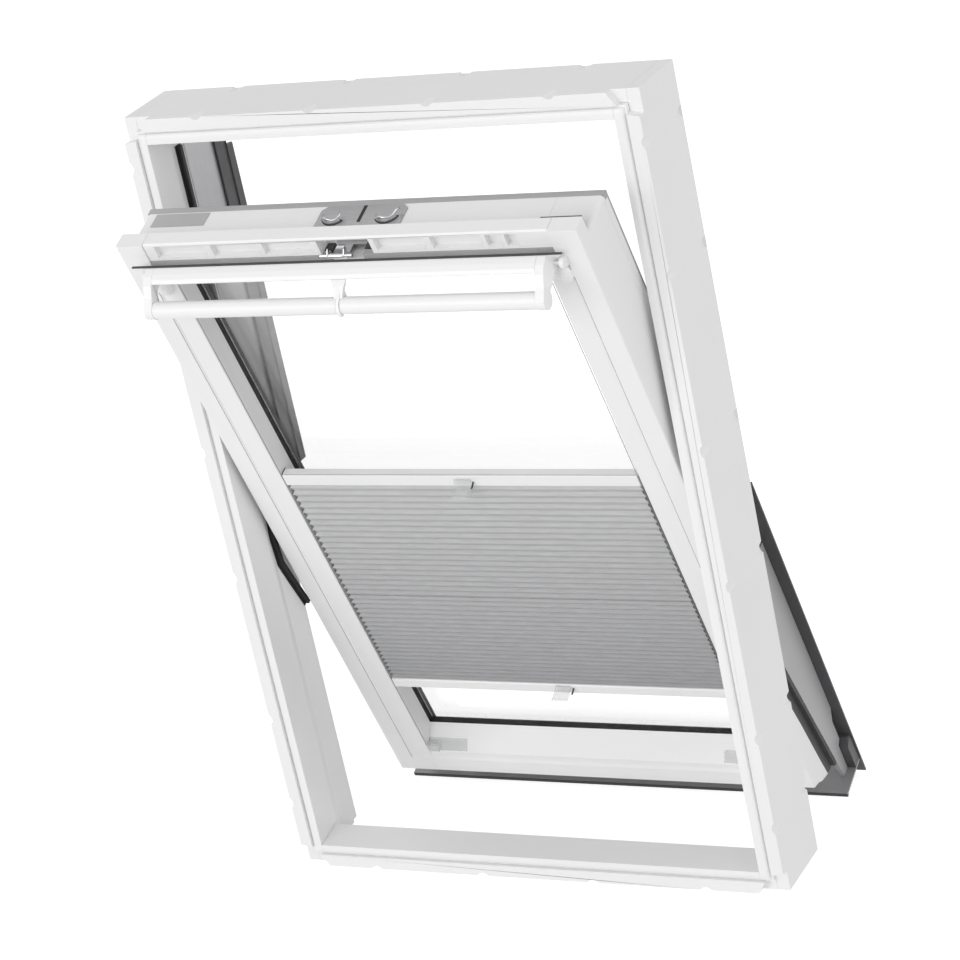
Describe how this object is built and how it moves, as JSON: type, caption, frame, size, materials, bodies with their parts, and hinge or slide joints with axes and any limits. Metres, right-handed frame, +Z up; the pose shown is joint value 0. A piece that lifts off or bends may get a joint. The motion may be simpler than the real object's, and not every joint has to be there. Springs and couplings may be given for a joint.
{
  "type": "roof window with pleated blind",
  "caption": "Centre-pivot roof window, its sash tilted open, with a top-down bottom-up pleated blind, vent flap, bar handle, latch and insulating collar",
  "frame": {"origin": "on the flat underside of the fixed frame, at the middle of its width and of the collar's depth", "axes": "+X to the right as seen from the room, +Y outwards through the roof, +Z up along the slope of the roof"},
  "size_m": [0.78, 0.5704, 1.2045],
  "materials": {
    "white_frame_plastic": "white polyurethane skin with a soft sheen",
    "white_foam_skin": "smooth moulded skin of an insulating foam collar",
    "white_gloss_plastic": "glossy white moulding",
    "black_rubber": "matt black sealing rubber",
    "grey_rubber": "matt dark grey sealing rubber",
    "grey_coated_aluminium": "dark grey coated aluminium sheet",
    "light_grey_aluminium": "light grey coated aluminium sheet",
    "zinc_plated_steel": "zinc-plated pressed steel",
    "chrome": "bright plating",
    "clear_glass": "clear float glass",
    "dark_spacer": "dark warm-edge spacer",
    "clear_plastic": "clear moulded plastic",
    "grey_pleated_fabric": "matt woven polyester, pleated",
    "white_coated_aluminium": "white coated extrusion",
    "label_film": "bare film label",
    "clear_cord": "thin pale tension cord"
  },
  "bodies": {
    "frame": {"frame_side_left": "white_frame_plastic", "frame_side_right": "white_frame_plastic", "frame_head": "white_frame_plastic", "frame_sill": "white_frame_plastic", "collar_left": "white_foam_skin", "collar_right": "white_foam_skin", "collar_head": "white_foam_skin", "collar_sill": "white_foam_skin", "frame_seal_left": "black_rubber", "frame_seal_right": "black_rubber", "frame_cladding_left": "grey_coated_aluminium", "frame_cladding_right": "grey_coated_aluminium", "frame_cladding_head": "grey_coated_aluminium", "frame_pivot_plate_left": "zinc_plated_steel", "frame_pivot_plate_right": "zinc_plated_steel", "striker_plate": "zinc_plated_steel"},
    "sash": {"sash_stile_left": "white_frame_plastic", "sash_stile_right": "white_frame_plastic", "sash_top_rail": "white_frame_plastic", "sash_bottom_rail": "white_frame_plastic", "side_cover_left": "white_frame_plastic", "side_cover_right": "white_frame_plastic", "side_flange_left": "grey_coated_aluminium", "side_flange_right": "grey_coated_aluminium", "sash_seal_left": "grey_rubber", "sash_seal_right": "grey_rubber", "sash_pivot_plate_left": "zinc_plated_steel", "sash_pivot_plate_right": "zinc_plated_steel", "cord_bracket_left": "clear_plastic", "cord_bracket_right": "clear_plastic", "tension_cord_left": "clear_cord", "tension_cord_right": "clear_cord", "vent_seal_left": "grey_rubber", "vent_seal_right": "grey_rubber", "glass_inner_pane": "clear_glass", "glass_outer_pane": "clear_glass", "glass_spacer": "dark_spacer", "glazing_gasket": "black_rubber", "sash_cladding_left": "light_grey_aluminium", "sash_cladding_right": "light_grey_aluminium", "sash_cladding_top": "light_grey_aluminium", "sash_cladding_bottom": "light_grey_aluminium", "drip_plate": "grey_coated_aluminium", "vent_front": "white_frame_plastic", "latch_plate": "zinc_plated_steel", "label_plate": "label_film", "blind_fabric": "grey_pleated_fabric"},
    "handle": {"vent_flap": "white_gloss_plastic", "flap_seal": "grey_rubber", "handle_tube": "white_gloss_plastic", "handle_end_left": "white_gloss_plastic", "handle_end_right": "white_gloss_plastic", "handle_bracket": "white_gloss_plastic"},
    "latch": {"latch_carriage": "zinc_plated_steel", "latch_link": "chrome"},
    "blind_top": {"blind_top_rail": "white_coated_aluminium", "blind_top_strip": "white_coated_aluminium", "blind_top_grip": "clear_plastic"},
    "blind_bottom": {"blind_bottom_rail": "white_coated_aluminium", "blind_bottom_grip": "clear_plastic"}
  },
  "joints": [
    {"name": "sash_pivot", "type": "hinge", "parent": "frame", "child": "sash", "pos_m": [0, 0.07055, 0.5549], "axis": [1, 0, 0], "range_deg": [-20.9, 29]},
    {"name": "handle_hinge", "type": "hinge", "parent": "sash", "child": "handle", "pos_m": [0, -0.20583, 1.00535], "axis": [1, 0, 0], "range_deg": [-34, 12]},
    {"name": "latch_slide", "type": "slide", "parent": "sash", "child": "latch", "axis": [0, -0.3576, 0.9339], "range_m": [-0.0029, 0.0081]},
    {"name": "blind_top_slide", "type": "slide", "parent": "sash", "child": "blind_top", "axis": [0, -0.3576, 0.9339], "range_m": [-0.12, 0.36], "deforming": ["blind_fabric"]},
    {"name": "blind_bottom_slide", "type": "slide", "parent": "sash", "child": "blind_bottom", "axis": [0, -0.3576, 0.9339], "range_m": [-0.115, 0.12], "deforming": ["blind_fabric"]}
  ],
  "couplings": [
    {"joint": "latch_slide", "follows": "handle_hinge", "m_per_rad": -0.0135}
  ]
}
